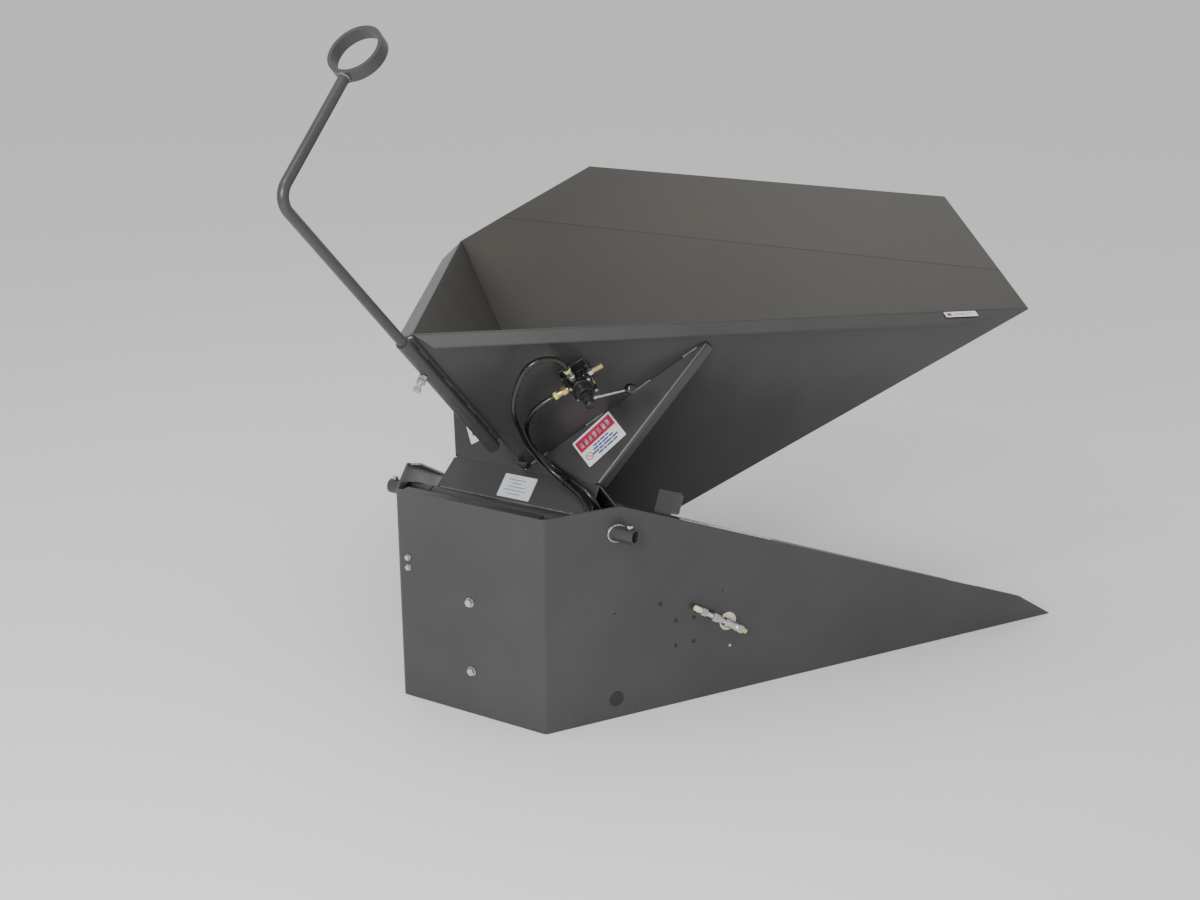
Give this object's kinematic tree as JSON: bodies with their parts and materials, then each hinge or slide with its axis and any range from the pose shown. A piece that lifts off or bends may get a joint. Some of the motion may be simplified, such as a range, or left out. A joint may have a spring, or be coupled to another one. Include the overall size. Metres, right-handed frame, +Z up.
{
  "type": "pneumatic corner tilter",
  "caption": "Floor-standing sheet-steel corner tilter: a wedge base carries an air-lifted square-corner cradle with a ramp lip, a hand valve and a ring arm.",
  "frame": {"origin": "on the floor, under the middle of the tilt axis, on the underside of the base's bottom plate", "axes": "+Z up, +Y towards the loading side where the wedge tips point, +X to the right side with the air inlet"},
  "size_m": [1.8098, 1.8176, 1.4693],
  "materials": {
    "grey_coat": "satin textured powder coat",
    "zinc_steel": "zinc plated",
    "shaft_steel": "turned",
    "black_rubber": "matte",
    "black_hose": "semi-gloss",
    "black_plastic": "satin",
    "black_gloss": "polished",
    "brass": "machined",
    "cream_rubber": "matte",
    "label_stock": "printed film"
  },
  "bodies": {
    "base": {"base_rear_panel": "grey_coat", "base_rear_flange": "grey_coat", "base_side_right": "grey_coat", "base_side_left": "grey_coat", "base_flange_right": "grey_coat", "base_flange_left": "grey_coat", "base_bottom_plate": "grey_coat", "base_side_tab": "grey_coat", "inner_bracket": "grey_coat", "rear_bolts": "zinc_steel", "panel_screws": "zinc_steel", "panel_plug": "black_plastic", "pivot_shaft": "shaft_steel", "pivot_spacers": "grey_coat", "pivot_sleeve_right": "grey_coat", "pivot_sleeve_left": "grey_coat", "set_screws": "zinc_steel", "air_spring_rear_plate": "zinc_steel", "air_spring_bellows": "black_rubber", "lift_port_block": "black_plastic", "inlet_grommet": "cream_rubber", "inlet_tee": "black_plastic", "inlet_nipple": "brass", "inlet_coupler": "black_plastic", "flange_labels": "label_stock"},
    "cradle": {"pivot_tube": "grey_coat", "grease_nipple": "zinc_steel", "cradle_floor": "grey_coat", "cradle_ramp_lip": "grey_coat", "cradle_wall_right": "grey_coat", "cradle_wall_left": "grey_coat", "cradle_corner_bar": "grey_coat", "cradle_rim_right": "grey_coat", "cradle_rim_left": "grey_coat", "cradle_deck": "grey_coat", "cradle_push_plate": "grey_coat", "cradle_arm_right": "grey_coat", "cradle_arm_left": "grey_coat", "cradle_notch_gusset": "grey_coat", "ring_arm_socket": "grey_coat", "socket_strip": "grey_coat", "clamp_nut": "zinc_steel", "air_spring_front_plate": "zinc_steel", "push_plate_bolts": "zinc_steel", "valve_bracket": "grey_coat", "valve_body": "black_plastic", "valve_screws": "zinc_steel", "exhaust_muffler": "brass", "supply_fitting": "zinc_steel", "lift_fitting": "brass", "supply_hose": "black_hose", "lift_hose": "black_hose", "rim_label": "label_stock", "rating_label": "label_stock", "caution_labels": "label_stock"},
    "ring_arm": {"ring_rod": "grey_coat", "ring": "grey_coat"},
    "clamp_screw": {"clamp_bolt": "zinc_steel"},
    "valve_handle": {"valve_lever": "zinc_steel", "lever_knob": "black_gloss"}
  },
  "joints": [
    {"name": "tilt", "type": "hinge", "parent": "base", "child": "cradle", "pos_m": [0, 0, 0.426], "axis": [1, 0, 0], "range_deg": [-45, 0], "deforming": ["air_spring_bellows", "supply_hose", "lift_hose"]},
    {"name": "ring_arm_slide", "type": "slide", "parent": "cradle", "child": "ring_arm", "axis": [0, -0.7071, 0.7071], "range_m": [-0.14, 0.25]},
    {"name": "clamp_turn", "type": "hinge", "parent": "cradle", "child": "clamp_screw", "pos_m": [0, -0.29133, 0.7739], "axis": [0, -0.7071, -0.7071], "continuous": true},
    {"name": "valve_turn", "type": "hinge", "parent": "cradle", "child": "valve_handle", "pos_m": [0.21355, -0.00825, 0.7105], "axis": [0.7071, -0.5, -0.5], "range_deg": [-30, 30]}
  ]
}
